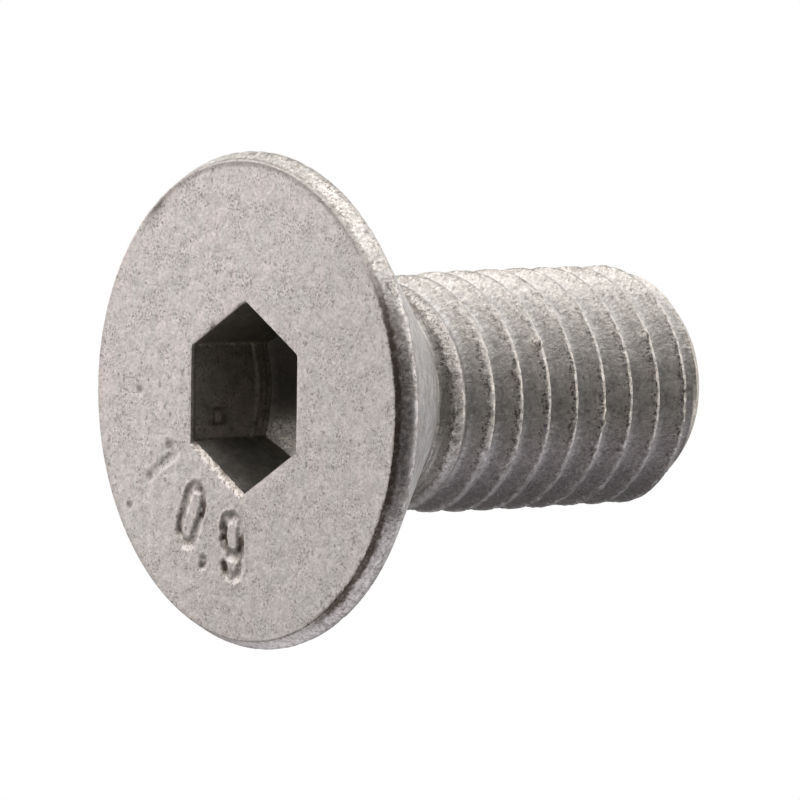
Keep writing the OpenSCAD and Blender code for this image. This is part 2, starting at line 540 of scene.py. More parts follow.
def make_face(skin, ring, mouth, angles):
    """Flat face with the stamped numbers, from the socket's mouth to the rim."""
    dense_in, dense_out, gap, edge = 5.3, 9.0, 0.08, FACE_R - 0.06
    rows = [(share, dense_in) for share in (0.2, 0.45, 0.7, 1.0)]
    rows += [(1.0, radius) for radius in np.arange(dense_in + gap, dense_out, gap)]
    rows += [(1.0, radius) for radius in np.linspace(dense_out, edge, 16)]
    for share, radius in rows:
        points = polar(mouth + share * (radius - mouth), angles, 0.0)
        points[:, 1] += SOCKET_Y * (1 - share * radius / edge)
        groove, lip, soil, bare, torn = stamp_relief(points)
        pit = pit_depth(points)
        wave = FACE_WAVE * lattice_noise(points, 1.3, 3) + FACE_ROUGH * lattice_noise(points, 0.35, 4)
        wave += TORN_ROUGH * torn * lattice_noise(points, 0.17, 5)
        points[:, 2] += STAMP_DEPTH * groove - LIP_HEIGHT * lip + PIT_DEPTH * pit + wave
        to_edge = np.hypot(points[:, 0], points[:, 1]) - FACE_R
        ring = skin.bridge(ring, skin.add(
            points, worn=bare, crease=crease_strength(angles),
            dirt=soil + TORN_DIRT * torn + PIT_DIRT * pit + edge_stain(points, angles),
            # Painted shade: the face darkens towards the lower right
            film=smooth(-9, 9, 0.8 * points[:, 0] + 0.6 * points[:, 1]),
            edge=to_edge - EDGE_RUN + HIDDEN_RUN * far_side(angles),
        ))
    return ring


# Rim and cone

# Angles in degrees between which the rim's far side, cut crease, brown crease and stain begin and end
FAR_FROM, FAR_TO = (70, 115), (-25, -65)
CUT_FROM, CUT_TO = (-48, -22), (54, 68)
BROWN_FROM, BROWN_TO = (-140, -128), (-45, -25)
STAIN_FROM, STAIN_TO = (-38, -14), (12, 34)
# Dirt and painted shade in the brown crease and in the faint one that runs all round
BROWN_CREASE, FAINT_CREASE = 0.5, 0.12
RIM_WAVE, RIM_ROUGH, CONE_ROUGH = 0.03, 0.02, 0.01


def signed_degrees(angles):
    return (np.degrees(angles) + 180) % 360 - 180


def far_side(angles):
    """1 where the rim turns away from the photograph's viewer, 0 where it faces the viewer."""
    side = signed_degrees(angles)
    return np.maximum(smooth(*FAR_FROM, side), smooth(*FAR_TO, side))


def crease_cut(angles):
    """1 on the side where the crease is cut into the rim, 0 on the rest."""
    side = signed_degrees(angles)
    return smooth(*CUT_FROM, side) * (1 - smooth(*CUT_TO, side))


def crease_strength(angles):
    """How dark the crease is at each angle, from dirt and painted shade: a dark line on one side, a
    faint one on the rest.
    """
    side = signed_degrees(angles)
    brown = BROWN_CREASE * smooth(*BROWN_FROM, side) * (1 - smooth(*BROWN_TO, side))
    return np.maximum.reduce((crease_cut(angles), brown, np.full(len(side), FAINT_CREASE)))


def stain_strength(angles):
    """How far the dark stain past the crease has spread at each angle."""
    side = signed_degrees(angles)
    return smooth(*STAIN_FROM, side) * (1 - smooth(*STAIN_TO, side))


def rim_profile():
    """Radius and height of the rim's rows, and how far each lies past the crease."""
    tilt = math.degrees(BEVEL_TILT)
    first = arc((FACE_R, EDGE_ROUND), EDGE_ROUND, -90, -tilt, 6)
    last = arc((ROUND_R, ROUND_Z), RIM_ROUND, -tilt, 45, 10)
    bevel = [first[-1] + share * (last[0] - first[-1]) for share in (0.1, 0.2, 0.32, 0.46, 0.64, 0.82)]
    profile = np.concatenate((first, bevel, last))
    along = np.cumsum(np.linalg.norm(np.diff(profile, axis=0, prepend=profile[:1]), axis=1))
    return profile, along - along[len(first) - 1] - CREASE_AT


def make_rim(skin, face_ring, face_columns, angles):
    """Bevelled rim with a crease of dirt and painted shade that is deepest on one side."""
    strength = crease_strength(angles)
    ring = None
    for (radius, z), along in zip(*rim_profile()):
        points = polar(radius, angles, z)
        gap = along + CREASE_WANDER * lattice_noise(points * (1, 1, 0), 1.4, 24)
        crease = np.exp(-(gap / CREASE_WIDTH) ** 2) * crease_cut(angles)
        rough = RIM_WAVE * lattice_noise(points, 0.5, 22) + RIM_ROUGH * lattice_noise(points, 0.25, 23)
        push_out(points, np.minimum(rough, 0) * smooth(0, 0.3, z) - CREASE_DEPTH * crease)
        following = skin.add(
            points, rim=smooth(-EDGE_RUN, 0.05, along), crease=strength, stain=stain_strength(angles),
            edge=along + HIDDEN_RUN * far_side(angles),
        )
        if ring is None:
            skin.zip_rings(face_ring, face_columns, following, angles)
        else:
            skin.bridge(ring, following)
        ring = following
    return ring


def cone_radius(z):
    return CONE_R + CONE_Z - z


def make_cone(skin, ring, angles):
    """Seating cone, from the rim to where the thread's rows begin."""
    start = ROUND_Z + RIM_ROUND / math.sqrt(2)
    near_rim = start + 0.1 * np.arange(1, 6)
    for z in np.concatenate((near_rim, np.linspace(near_rim[-1], THREAD_START, 11)[1:])):
        points = polar(cone_radius(z), angles, z)
        push_out(points, CONE_ROUGH * lattice_noise(points, 1.2, 31))
        ring = skin.bridge(ring, skin.add(points, cone=1.0, rim=math.exp((start - z) / 0.2)))
    return ring


# Thread

def runout(z, start):
    """Share of the runout left at a height: 1 at its start, then fading out."""
    return np.exp(-np.maximum(z - start, -3.0) / RUNOUT_LEN)


def root_radius(groove_z):
    return ROOT_R + SHALLOW_ROOT * runout(groove_z, FIRST_CREST - PITCH / 2)


def crest_radius(crest_z):
    return CREST_R - LOW_CREST * runout(crest_z, FIRST_CREST)


def crest_height(angles):
    """Height of the crest line that leaves the +X side as the first crest."""
    return FIRST_CREST + PITCH * angles / (2 * math.pi)


def tip_radius(z):
    """Radius of the chamfer's cone at a height."""
    return TIP_R + (LENGTH - z) * TIP_TAN


def thread_form(angles, z):
    """Form of the shank without wear at each point.

    Returns its radius, its depth below the crest, the way past the crest and the height over the cone.
    """
    turns = (z - crest_height(angles)) / PITCH
    past_crest = (turns - np.floor(turns + 0.5 + 1e-6)) * PITCH
    off_groove = (turns - np.floor(turns) - 0.5) * PITCH
    root = root_radius(z - off_groove)
    crest = crest_radius(z - past_crest)
    flank = smooth_max((np.abs(off_groove) - ROOT_HALF) / FLANK_TAN, 0.0, ROOT_BLEND) + root
    blend = CREST_BLEND + ROUND_BLEND * np.minimum(runout(z - past_crest, FIRST_CREST), 1)
    shank = smooth_min(flank, crest, blend)
    whole = smooth_max(shank, cone_radius(z), JOIN_BLEND)
    whole = smooth_min(whole, tip_radius(z), JOIN_BLEND)
    return whole, crest - shank, past_crest, shank - cone_radius(z)


def thread_rows(angle):
    """Heights and labels of one column's rows; a label names the same line in each column."""
    start = crest_height(angle)
    first = math.floor((THREAD_START - start) / PITCH) - 1
    last = math.ceil((LENGTH - start) / PITCH) + 1
    heights = []
    for turn in range(first, last):
        groove = start + PITCH * (turn + 0.5)
        half = ROOT_HALF + max(crest_radius(groove) - root_radius(groove), LEAST_DEPTH) * FLANK_TAN
        flank = half - ROOT_HALF
        side = [PITCH / 2, (half + PITCH / 2) / 2, half + 0.03, half - 0.05]
        side += [ROOT_HALF + flank * share for share in (0.6, 0.25, 0.0)]
        heights += [groove - offset for offset in side]
        heights += [groove, *(groove + offset for offset in side[:0:-1])]
    heights = np.array(heights)
    labels = np.arange(first * ROWS_PER_PITCH, last * ROWS_PER_PITCH)
    kept = (heights > THREAD_START + ROW_GAP) & (heights < LENGTH - ROW_GAP)
    return heights[kept], labels[kept]


def nodule_strength(points):
    """Share of the full height of the nearest nodule at each point of the thread."""
    best = np.zeros(len(points))
    for angle, height, size in NODULES:
        middle = polar(CREST_R - NODULE_SINK, math.radians(angle), height)
        best = np.maximum(best, np.exp(-(np.linalg.norm(points - middle, axis=1) / size) ** 2))
    return best


def make_thread(skin, ring, angles):
    """Helical rows from the cone to the flat end; returns the ring at the end's edge."""
    rows = [thread_rows(angle) for angle in angles]
    counts = [len(heights) for heights, labels in rows]
    z = np.concatenate([heights for heights, labels in rows])
    turn = np.repeat(angles, counts)
    radius, depth, past_crest, over_cone = thread_form(turn, z)
    points = polar(radius, turn, z)

    on_thread = smooth(0.0, 0.12, over_cone)
    top = on_thread * (1 - smooth(0.04, 0.16, depth))
    root = on_thread * smooth(0.35, 0.95, depth / THREAD_DEPTH)
    first = np.exp(-np.maximum(z - past_crest - FIRST_CREST, -0.2) / FIRST_FADE)
    degrees = np.degrees(turn)
    lower = smooth(20, 50, degrees) * (1 - smooth(140, 170, degrees))
    ridge = CREST_LINE + FIRST_RIDGE * first + LOWER_RIDGE * lower
    tip = smooth(-0.06, 0.0, radius - tip_radius(z))
    tip_line = np.exp(-((radius - tip_radius(z) + 0.06) / 0.06) ** 2)
    chip = np.exp(-((degrees - CHIP_AT) / CHIP_HALF) ** 2 - (over_cone / CHIP_REACH) ** 2)
    nodule = nodule_strength(points)
    fine = lattice_noise(points, 0.2, 41)
    broad = lattice_noise(points, 0.6, 42)
    nick = smooth(0.35, 0.8, lattice_noise(points, 0.45, 43))
    burr = smooth(0.45, 0.9, lattice_noise(points, 0.4, 44)) * smooth(-0.06, 0.04, past_crest)
    wear = FINE_WEAR * np.abs(fine) + NICK_WEAR * nick + BROAD_WEAR * np.abs(broad) - BURR_HEIGHT * burr
    rough = (1 - top) * on_thread * (THREAD_ROUGH * broad + THREAD_ROUGH * fine)
    push_out(points, rough - top * wear + CHIP_HEIGHT * chip + NODULE_HEIGHT * nodule)
    numbers = skin.add(
        points, thread=on_thread, cone=1 - on_thread, root=root, past=past_crest, ridge=ridge,
        join=1 + np.clip(over_cone / JOIN_REACH, -1, 1), worn=np.maximum(chip, nodule), tip=tip,
        dirt=np.maximum(0.3 * top * nick, 0.45 * tip_line),
    )

    end_ring = skin.add(polar(TIP_R, angles, LENGTH), thread=1.0, tip=1.0)
    columns = np.split(numbers, np.cumsum(counts)[:-1])
    strips = [[start, *column, end] for start, column, end in zip(ring, columns, end_ring)]
    for number, strip in enumerate(strips):
        left, right = rows[number - 1][1], rows[number][1]
        if number == 0:
            right = right - ROWS_PER_PITCH
        skin.zip_rows(
            strip, [-LAST_LABEL, *right, LAST_LABEL],
            strips[number - 1], [-LAST_LABEL, *left, LAST_LABEL],
        )
    return end_ring


def make_end(skin, ring, angles):
    """Flat end of the shank, sawn and a little uneven."""
    for share in (0.97, 0.85, 0.6, 0.35, 0.15):
        points = polar(TIP_R * share, angles, LENGTH)
        points[:, 2] -= END_SINK + END_ROUGH * lattice_noise(points, 0.8, 51)
        ring = skin.bridge(ring, skin.add(points, thread=1.0, past=-PITCH / 2))
    centre = skin.add((0, 0, LENGTH - END_MIDDLE), thread=1.0, past=-PITCH / 2)
    skin.bridge(ring, np.repeat(centre, len(angles)))


def make_bolt():
    skin = Skin()
    columns = face_angles()
    angles = np.arange(COLUMNS) * 2 * math.pi / COLUMNS
    ring, mouth = make_socket(skin, columns)
    ring = make_face(skin, ring, mouth, columns)
    ring = make_rim(skin, ring, columns, angles)
    ring = make_cone(skin, ring, angles)
    ring = make_thread(skin, ring, angles)
    make_end(skin, ring, angles)
    skin.faces = [tuple(dict.fromkeys(face)) for face in skin.faces]
    return skin.to_object("bolt_skin")


# Helpers for materials

class Nodes:
    """Adds shader nodes to a tree and links them."""

    def __init__(self, tree):
        self.tree = tree
        tree.nodes.clear()

    def add(self, kind, inputs=None, **settings):
        node = self.tree.nodes.new("ShaderNode" + kind)
        for name, value in settings.items():
            setattr(node, name, value)
        for name, value in (inputs or {}).items():
            if isinstance(value, bpy.types.NodeSocket):
                self.tree.links.new(value, node.inputs[name])
            else:
                node.inputs[name].default_value = value
        return node

    def math(self, operation, first, second=0.0, third=0.0):
        return self.add("Math", {0: first, 1: second, 2: third}, operation=operation).outputs[0]

    def vector(self, operation, first, second):
        return self.add("VectorMath", {0: first, 1: second}, operation=operation).outputs["Vector"]

    def ramp(self, value, low, high, to_low=0.0, to_high=1.0):
        """Maps a value smoothly from one range to another."""
        inputs = {
            "Value": value, "From Min": low, "From Max": high, "To Min": to_low, "To Max": to_high,
        }
        return self.add("MapRange", inputs, interpolation_type="SMOOTHSTEP").outputs["Result"]

    def mix(self, factor, first, second, blend="MIX"):
        """Mixes two colours, each of them a tuple or a socket."""
        colours = [(*value, 1.0) if isinstance(value, tuple) else value for value in (first, second)]
        inputs = {0: factor, 6: colours[0], 7: colours[1]}
        return self.add("Mix", inputs, data_type="RGBA", blend_type=blend).outputs[2]

    def tone(self, colour, factor):
        """A colour multiplied by a factor."""
        return self.mix(1.0, colour, factor, "MULTIPLY")

    def times(self, first, *others):
        """All the factors multiplied."""
        for other in others:
            first = self.math("MULTIPLY", first, other)
        return first

    def dot(self, first, second):
        return self.add("VectorMath", {0: first, 1: second}, operation="DOT_PRODUCT").outputs["Value"]

    def noise(self, place, scale, detail=2.0, roughness=0.5):
        inputs = {"Vector": place, "Scale": scale, "Detail": detail, "Roughness": roughness}
        return self.add("TexNoise", inputs).outputs["Fac"]

    def millimetres(self):
        """Place on the object, in millimetres."""
        return self.vector("MULTIPLY", self.add("TexCoord").outputs["Object"], (1 / MM,) * 3)

    def around(self, place, stretch):
        """Coordinates for streaks that follow the turning: slow round the axis, quick along it."""
        flat = self.vector("MULTIPLY", place, (1, 1, 0))
        unit = self.add("VectorMath", {0: flat}, operation="NORMALIZE").outputs["Vector"]
        return self.vector("ADD", self.vector("MULTIPLY", unit, (4, 4, 0)),
                           self.vector("MULTIPLY", place, (0, 0, stretch)))

    def wobble(self, place, reach):
        """The same place, shifted at random by up to about the given distance."""
        shift = self.add("TexNoise", {"Vector": place, "Scale": 5.0, "Detail": 2.0}).outputs["Color"]
        shift = self.vector("MULTIPLY", self.vector("SUBTRACT", shift, (0.5,) * 3), (2 * reach,) * 3)
        return self.vector("ADD", place, shift)

    def cells(self, place, scale, size, share):
        """Small marks of random size in a share of the cells of a random pattern."""
        pattern = self.add("TexVoronoi", {"Vector": place, "Scale": scale}).outputs
        chance = self.add("SeparateColor", {"Color": pattern["Color"]}).outputs
        reach = self.ramp(chance["Red"], 0.0, 1.0, 0.4 * size, size)
        mark = self.ramp(self.math("DIVIDE", pattern["Distance"], reach), 0.55, 1.0, 1.0, 0.0)
        return self.math("MULTIPLY", mark, self.math("LESS_THAN", chance["Green"], share))

    def mask(self, name):
        return self.add("Attribute", attribute_name=name).outputs["Fac"]


# Colours of the coat
PINK_GREY = (0.69, 0.622, 0.60)
COOL_GREY = (0.652, 0.609, 0.582)
# Rim tones under the painted warm and cool light, and its pale band
RIM_GREY = (0.66, 0.612, 0.628)
RIM_WARM = (0.70, 0.66, 0.62)
RIM_PALE = (0.93, 0.89, 0.87)
CONE_GREY = (0.71, 0.69, 0.685)
FLANK_GREY = (0.58, 0.545, 0.51)
ROOT_GREY = (0.60, 0.58, 0.567)
# Painted shade and grime inside the socket
SOCKET_SHADE_GREY = (0.25, 0.235, 0.205)
CREAM = (0.86, 0.80, 0.73)
CREST_CREAM = (0.95, 0.88, 0.80)
# Crest colour under the painted cool light lower down
CREST_COOL_LIGHT = (0.80, 0.755, 0.77)
TIP_CREAM_HIGHLIGHT = (0.95, 0.86, 0.74)
# Tint of the painted cool light on the lower thread
PAINTED_COOL_LIGHT = (1.03, 0.995, 1.08)
BROWN = (0.085, 0.062, 0.047)
SOIL = (0.16, 0.105, 0.06)
SPECK = (0.20, 0.17, 0.15)
# Painted shade on the neck, with paler streaks
NECK_SHADE = (0.21, 0.195, 0.175)
NECK_SHADE_PALE = (0.44, 0.42, 0.39)
# Painted light and shade on the thread in bands along Y: from where, to where and by how much
THREAD_PAINTED_SHADING = ((-1.0, 6.5, 0.48), (-2.5, 0.5, 0.88), (0.8, 3.0, 1.22), (3.0, 5.5, 0.62))
# Share of the face's tone that is left where the painted shade, darker towards the lower right, is
# deepest
PAINTED_SHADE_TONE = 0.88
# Noise of the coat: repeats in a millimetre, detail and roughness
GRAIN = (5.0, 4.0, 0.7)
BLOTCH = (1.6, 4.0, 0.6)
PATCH = (0.5, 2.0)
SPOTS = (3.2, 3.0, 0.65)
BRUSH = (5.0, 4.0, 0.7)
SHIFT = (2.5, 4.0, 0.65)
MARKS = (2.4, 5.0, 0.72)
SPECKS = (8.0, 2.0, 0.6)
STREAK = (1.2, 4.0, 0.7)
CLUSTER = (0.7, 3.0, 0.6)
# Shifts that keep one noise from following another, and how far the marks are pulled out of shape
SPOTS_AWAY = (7, 3, 5)
CLUSTER_AWAY = (2, 9, 4)
WOBBLE_REACH = 0.12
STREAK_STRETCH = 5.0
BRUSH_STRETCH = (1, 1, 0.5)
# Shine of the coat: metal, roughness where it is smooth and rough, share of it on the chamfer
METAL = 0.85
ROUGHNESS = (0.43, 0.54)
TIP_ROUGHNESS = 0.45
# Depth of the fine relief in millimetres, and how much deeper the brushed thread is
RELIEF = 0.016
BRUSH_RELIEF = 3.0


class Coat(Nodes):
    """Textures and masks that the parts of the coat share; down is the way down in the photograph."""

    def __init__(self, tree):
        super().__init__(tree)
        place = self.millimetres()
        self.grain = self.noise(place, *GRAIN)
        self.blotch = self.noise(place, *BLOTCH)
        self.patch = self.noise(place, *PATCH)
        self.spots = self.noise(self.vector("ADD", place, SPOTS_AWAY), *SPOTS)
        self.brush = self.noise(self.vector("MULTIPLY", place, BRUSH_STRETCH), *BRUSH)
        self.shift = self.math("SUBTRACT", self.noise(place, *SHIFT), 0.5)
        self.ragged = self.wobble(place, WOBBLE_REACH)
        self.marks = self.ramp(self.noise(self.ragged, *MARKS), 0.55, 0.68)
        self.specks = self.noise(place, *SPECKS)
        self.fringe = self.math("SUBTRACT", self.specks, 0.5)
        self.streak = self.noise(self.around(place, STREAK_STRETCH), *STREAK)
        cluster = self.noise(self.vector("ADD", place, CLUSTER_AWAY), *CLUSTER)
        self.cluster = self.ramp(cluster, 0.47, 0.6)
        self.down = self.add("SeparateXYZ", {"Vector": place}).outputs["Y"]
        self.masks = {name: self.mask(name) for name in MASKS}
        on_rim = self.math("MULTIPLY_ADD", self.blotch, 0.9, self.masks["rim"])
        self.on_rim = self.ramp(on_rim, 0.75, 1.1)


def rim_colour(coat):
    """Grey rim, paler outside the crease, with dark marks and cream flakes; warmer, with a stronger
    pale band, towards the top as painted light.
    """
    mask = coat.masks
    outer = coat.times(
        coat.ramp(mask["crease"], 0.6, 1.0),
        coat.ramp(coat.math("MULTIPLY_ADD", coat.shift, 0.9, mask["edge"]), 0.3, 0.75),
        coat.ramp(mask["stain"], 0.0, 1.0, 0.9, 0.35),
        # Painted highlight: the pale band fades lower down
        coat.ramp(coat.down, 3.0, 7.0, 1.0, 0.4),
    )
    # Painted light: warm towards the top, cool grey lower down
    rim = coat.mix(coat.ramp(coat.down, -8.0, 3.0), RIM_WARM, RIM_GREY)
    rim = coat.mix(outer, rim, RIM_PALE)
    rim = coat.mix(coat.ramp(coat.blotch, 0.48, 0.66, 0.0, 0.4), rim, SPECK)
    stained = coat.times(mask["stain"], coat.ramp(coat.blotch, 0.4, 0.56, 0.0, 0.35))
    rim = coat.mix(stained, rim, SPECK)
    flakes = coat.times(
        coat.ramp(coat.spots, 0.54, 0.66), coat.ramp(mask["stain"], 0.0, 1.0, 0.8, 0.5),
        coat.ramp(coat.down, -2.0, 4.0, 1.0, 0.25),
    )
    return coat.mix(flakes, rim, CREAM)


def base_colour(coat):
    """Colours of the face, the cone, the rim, the thread and the socket."""
    mask = coat.masks
    colour = coat.mix(coat.ramp(coat.patch, 0.4, 0.6), PINK_GREY, COOL_GREY)
    # Painted shade across the face, darker towards the lower right
    colour = coat.tone(colour, coat.ramp(mask["film"], 0.0, 1.0, 1.0, PAINTED_SHADE_TONE))
    cone = coat.tone(CONE_GREY, coat.ramp(coat.streak, 0.35, 0.65, 0.84, 1.08))
    colour = coat.mix(mask["cone"], colour, cone)
    colour = coat.mix(coat.on_rim, colour, rim_colour(coat))
    # Roots painted a little lighter: painted light against the shade in the grooves
    thread = coat.mix(mask["root"], FLANK_GREY, ROOT_GREY)
    # Painted light and shade: the thread lighter and darker in bands along Y
    for start, end, tone in THREAD_PAINTED_SHADING:
        thread = coat.tone(thread, coat.ramp(coat.down, start, end, 1.0, tone))
    # Painted cool light on the lower part of the thread
    thread = coat.mix(coat.ramp(coat.down, 0.5, 4.0), thread, PAINTED_COOL_LIGHT, "MULTIPLY")
    colour = coat.mix(mask["thread"], colour, thread)
    # Dark socket: painted shade and grime
    return coat.mix(mask["socket"], colour, SOCKET_SHADE_GREY)


def speckle(coat, colour):
    """Brushed thread, grain, dark marks and pale specks."""
    on_thread = coat.masks["thread"]
    # Brushed streaks on the thread, with more contrast towards the top as painted glints
    swing = coat.times(on_thread, coat.ramp(coat.down, -4.0, 4.0, 0.2, 0.12))
    shade = coat.math("MULTIPLY_ADD", coat.ramp(coat.brush, 0.32, 0.68, -1.0, 1.0), swing, 1.0)
    colour = coat.tone(colour, shade)
    swing = coat.math("MULTIPLY_ADD", coat.on_rim, 0.1, 0.13)
    shade = coat.math("MULTIPLY_ADD", coat.ramp(coat.grain, 0.34, 0.66, -1.0, 1.0), swing, 1.0)
    colour = coat.tone(colour, shade)
    colour = coat.tone(colour, coat.ramp(coat.blotch, 0.3, 0.7, 0.86, 1.11))
    marks = coat.times(coat.marks, coat.ramp(on_thread, 0.0, 1.0, 0.7, 0.4))
    colour = coat.mix(marks, colour, SPECK)
    pepper = coat.ramp(on_thread, 0.0, 1.0, 0.62, 0.25)
    colour = coat.mix(coat.times(coat.ramp(coat.specks, 0.60, 0.70), pepper), colour, SPECK)
    clustered = coat.times(coat.cluster, coat.ramp(coat.specks, 0.52, 0.62), pepper)
    colour = coat.mix(clustered, colour, SPECK)
    dark_cells = coat.cells(coat.ragged, 1.9, 0.24, 0.8)
    colour = coat.mix(coat.times(dark_cells, 0.55), colour, SPECK)
    pale_cells = coat.cells(coat.ragged, 3.1, 0.2, 0.6)
    return coat.mix(coat.times(pale_cells, 0.45), colour, CREAM)


def thread_wear(coat, colour):
    """Painted neck shade, worn crest lines with painted highlight and pepper on the widest, painted
    highlight at the cone.

    Returns the colour, and the dirt that lies before the crest lines.
    """
    mask = coat.masks
    past = coat.math("MULTIPLY_ADD", coat.shift, 0.65, mask["past"])
    past = coat.math("MULTIPLY_ADD", coat.fringe, 0.35, past)
    into_line = coat.math("ADD", past, mask["ridge"])
    wide = coat.ramp(mask["ridge"], 0.15, 0.5)
    # Painted shade on the neck, below the first wide crests
    neck_shade = coat.times(mask["thread"], wide, coat.ramp(into_line, -0.05, 0.05, 0.8, 0.0))
    neck_shade_tone = coat.mix(coat.ramp(coat.streak, 0.46, 0.62), NECK_SHADE, NECK_SHADE_PALE)
    neck_shade_tone = coat.mix(coat.times(coat.marks, 0.8), neck_shade_tone, BROWN)
    colour = coat.mix(neck_shade, colour, neck_shade_tone)

    line = coat.times(
        mask["thread"], coat.ramp(into_line, -0.03, 0.03), coat.ramp(past, 0.12, 0.2, 1.0, 0.0),
    )
    # Crest lines: worn metal with painted highlight, cooler and darker along Y as painted light and
    # shade
    crest = coat.mix(coat.ramp(coat.down, 0.5, 3.0), CREST_CREAM, CREST_COOL_LIGHT)
    crest = coat.tone(crest, coat.ramp(coat.down, 2.0, 5.0, 1.0, 0.4))
    worn = coat.times(
        line, coat.ramp(coat.spots, 0.40, 0.55, 0.1, 1.0), coat.ramp(coat.specks, 0.34, 0.5, 0.45, 1.0),
        coat.ramp(coat.down, -4.5, 0.5, 0.3, 1.0),
    )
    colour = coat.mix(worn, colour, crest)
    pepper = coat.times(line, wide, coat.ramp(coat.specks, 0.5, 0.6, 0.0, 0.7))
    colour = coat.mix(pepper, colour, SPECK)
    before = coat.times(
        coat.ramp(into_line, -0.22, -0.04), coat.ramp(into_line, -0.01, 0.04, 1.0, 0.0),
    )
    grime_and_shade = coat.times(
        mask["thread"], before, coat.ramp(coat.spots, 0.44, 0.6, 0.95, 0.2),
        coat.ramp(coat.specks, 0.42, 0.54),
        coat.ramp(coat.down, -5.0, -1.0, 0.5, 1.0),
        coat.ramp(coat.down, 1.5, 4.5, 1.0, 0.4),
    )

    # Painted highlight along the cone's edge where the thread begins
    join = coat.math("MULTIPLY_ADD", coat.shift, 0.5, mask["join"])
    lip = coat.times(coat.ramp(join, 0.45, 0.75), coat.ramp(join, 1.0, 1.1, 1.0, 0.0), 0.8)
    return coat.mix(lip, colour, CREAM), grime_and_shade


def bare_edges(coat, colour):
    """Cream of the worn edges and of the socket's painted light, with brown pepper, and of the chamfer,
    partly a painted highlight.
    """
    worn = coat.masks["worn"]
    bare = coat.times(worn, coat.ramp(coat.specks, 0.38, 0.52, 0.25, 1.0))
    colour = coat.mix(bare, colour, CREAM)
    bright = coat.times(coat.ramp(worn, 0.3, 0.6), coat.ramp(coat.spots, 0.5, 0.62))
    colour = coat.mix(bright, colour, CREST_CREAM)
    pepper = coat.times(coat.ramp(worn, 0.08, 0.3, 0.0, 0.65), coat.ramp(coat.specks, 0.52, 0.6))
    colour = coat.mix(pepper, colour, SOIL)
    # Cream chamfer: worn metal colour and painted highlight, faded towards the top
    tip = coat.times(
        coat.masks["tip"], coat.ramp(coat.grain, 0.3, 0.55, 0.5, 1.0),
        coat.ramp(coat.down, -3.5, -1.8, 0.1, 1.0),
    )
    return coat.mix(tip, colour, TIP_CREAM_HIGHLIGHT)


def rim_dirt_and_shade(coat):
    """Dirt and painted shade in the rim's crease, and the stain past it."""
    mask = coat.masks
    edge = coat.math("MULTIPLY_ADD", coat.shift, 0.45, mask["edge"])
    edge = coat.math("MULTIPLY_ADD", coat.fringe, 0.25, edge)
    line = coat.times(
        mask["crease"], coat.ramp(edge, -0.34, -0.1), coat.ramp(edge, 0.08, 0.3, 1.0, 0.0),
        coat.ramp(coat.spots, 0.34, 0.55, 0.7, 0.95),
    )
    spread = coat.math("MULTIPLY_ADD", coat.blotch, 0.9, edge)
    stain = coat.times(
        mask["stain"], coat.ramp(edge, -0.1, 0.05), coat.ramp(spread, 0.7, 1.3, 0.65, 0.0),
        coat.ramp(coat.spots, 0.42, 0.58, 1.0, 0.55),
    )
    return coat.math("MAXIMUM", line, stain)


def coat_material():
    """Zinc coat: speckled head, streaked cone, brushed thread, cream worn edges, brown creases, painted
    light and shade.
    """
    material = bpy.data.materials.new("zinc_coat")
    material.use_nodes = True
    coat = Coat(material.node_tree)
    colour = base_colour(coat)
    colour = speckle(coat, colour)
    colour, grime_and_shade = thread_wear(coat, colour)
    colour = bare_edges(coat, colour)
    dirt = coat.math("MAXIMUM", grime_and_shade, coat.masks["dirt"])
    dirt = coat.math("MAXIMUM", dirt, rim_dirt_and_shade(coat))
    # Brown dirt, with painted shade in the rim's crease and on the socket's bottom
    colour = coat.mix(dirt, colour, BROWN)

    roughness = coat.ramp(coat.blotch, 0.3, 0.7, *ROUGHNESS)
    on_tip = coat.ramp(coat.masks["tip"], 0.0, 1.0, 1.0, TIP_ROUGHNESS)
    brushed = coat.times(coat.brush, coat.masks["thread"])
    relief = coat.math("MULTIPLY_ADD", brushed, BRUSH_RELIEF, coat.grain)
    bump = coat.add("Bump", {"Height": relief, "Strength": 1.0, "Distance": RELIEF * MM})
    shader = coat.add("BsdfPrincipled", {
        "Base Color": colour,
        "Roughness": coat.times(roughness, on_tip),
        "Metallic": METAL,
        "Normal": bump.outputs["Normal"],
    })
    coat.add("OutputMaterial", {"Surface": shader.outputs["BSDF"]})
    return material


# Camera, fitted to the photograph: right, down and forward as it sees them
LENS = 360.0
SENSOR = 36.0
AXIS_TILT = math.radians(50.774)
AXIS_TURN = math.radians(-2.736)
FLAT_TURN = math.radians(3.977)
FACE_AT = np.array((-7.524, 0.057, 384.397))


def view_axes():
    """The camera's right, down and forward directions in the bolt's frame, as rows."""
    axis = np.array((
        math.sin(AXIS_TILT) * math.cos(AXIS_TURN),
        math.sin(AXIS_TILT) * math.sin(AXIS_TURN),
        math.cos(AXIS_TILT),
    ))
    side = np.cross((0, 1, 0), axis)
    side /= np.linalg.norm(side)
    other = np.cross(axis, side)
    x_axis = math.cos(FLAT_TURN) * side + math.sin(FLAT_TURN) * other
    y_axis = math.cos(FLAT_TURN) * other - math.sin(FLAT_TURN) * side
    return np.stack((x_axis, y_axis, axis), axis=1)


RIGHT, DOWN, FORWARD = view_axes()


def seen(right, up, near):
    """A direction given as the photograph sees it: right, up and towards the viewer."""
    return Vector(right * RIGHT - up * DOWN - near * FORWARD).normalized()


def make_camera():
    data = bpy.data.cameras.new("camera")
    data.lens = LENS
    data.sensor_width = SENSOR
    camera = bpy.data.objects.new("camera", data)
    place = -(FACE_AT @ np.stack((RIGHT, DOWN, FORWARD))) * MM
    turn = Matrix((RIGHT, -DOWN, -FORWARD)).transposed().to_4x4()
    camera.matrix_world = Matrix.Translation(place) @ turn
    bpy.context.scene.collection.objects.link(camera)
    bpy.context.scene.camera = camera


